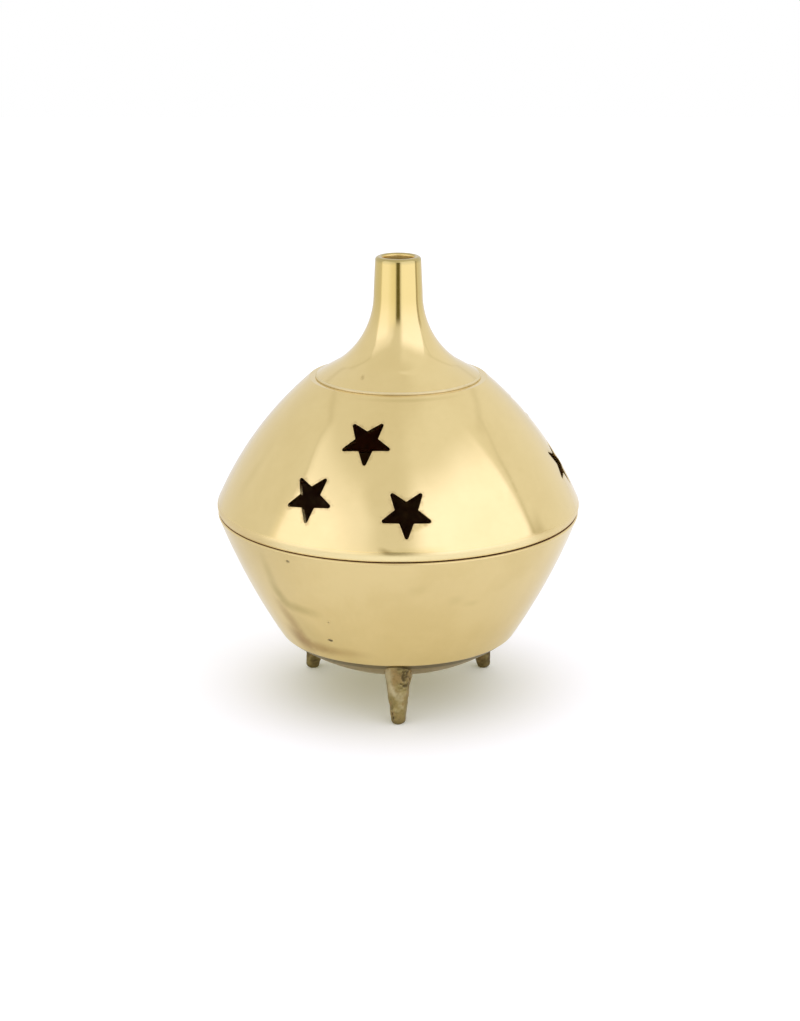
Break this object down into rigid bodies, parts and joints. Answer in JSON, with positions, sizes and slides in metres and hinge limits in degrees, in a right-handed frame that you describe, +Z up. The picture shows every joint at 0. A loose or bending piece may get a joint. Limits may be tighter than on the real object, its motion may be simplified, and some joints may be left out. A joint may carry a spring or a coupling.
{
  "type": "standing censer",
  "caption": "Lidded brass censer on cast feet: a turned bowl, a lift-off star-pierced dome with a chimney, and a loose perforated ember plate with a cone cup inside.",
  "frame": {"origin": "on the table, at the middle of the object, under the axis that the bowl and the lid are turned about", "axes": "+Z up along that axis, -Y towards the front foot, +X to the right seen from the front"},
  "size_m": [0.0826, 0.0826, 0.1016],
  "materials": {
    "bowl_brass": "polished, spun",
    "lid_brass": "polished, spun",
    "cast_brass": "raw sand casting",
    "plate_brass": "smoke-stained sheet",
    "fastener_brass": "plain turned, dulled"
  },
  "bodies": {
    "base": {"bowl": "bowl_brass", "foot_front": "cast_brass", "foot_rear_right": "cast_brass", "foot_rear_left": "cast_brass", "foot_washer_front": "fastener_brass", "foot_washer_rear_right": "fastener_brass", "foot_washer_rear_left": "fastener_brass", "foot_screw_front": "fastener_brass", "foot_screw_rear_right": "fastener_brass", "foot_screw_rear_left": "fastener_brass"},
    "plate": {"ember_plate": "plate_brass", "cone_cup": "plate_brass"},
    "lid": {"lid_dome": "lid_brass", "lid_ring": "lid_brass", "chimney": "lid_brass"}
  },
  "joints": [
    {"name": "plate_lift", "type": "slide", "parent": "base", "child": "plate", "axis": [0, 0, 1], "range_m": [0, 0.05]},
    {"name": "lid_lift", "type": "slide", "parent": "plate", "child": "lid", "axis": [0, 0, 1], "range_m": [0, 0.06]}
  ]
}
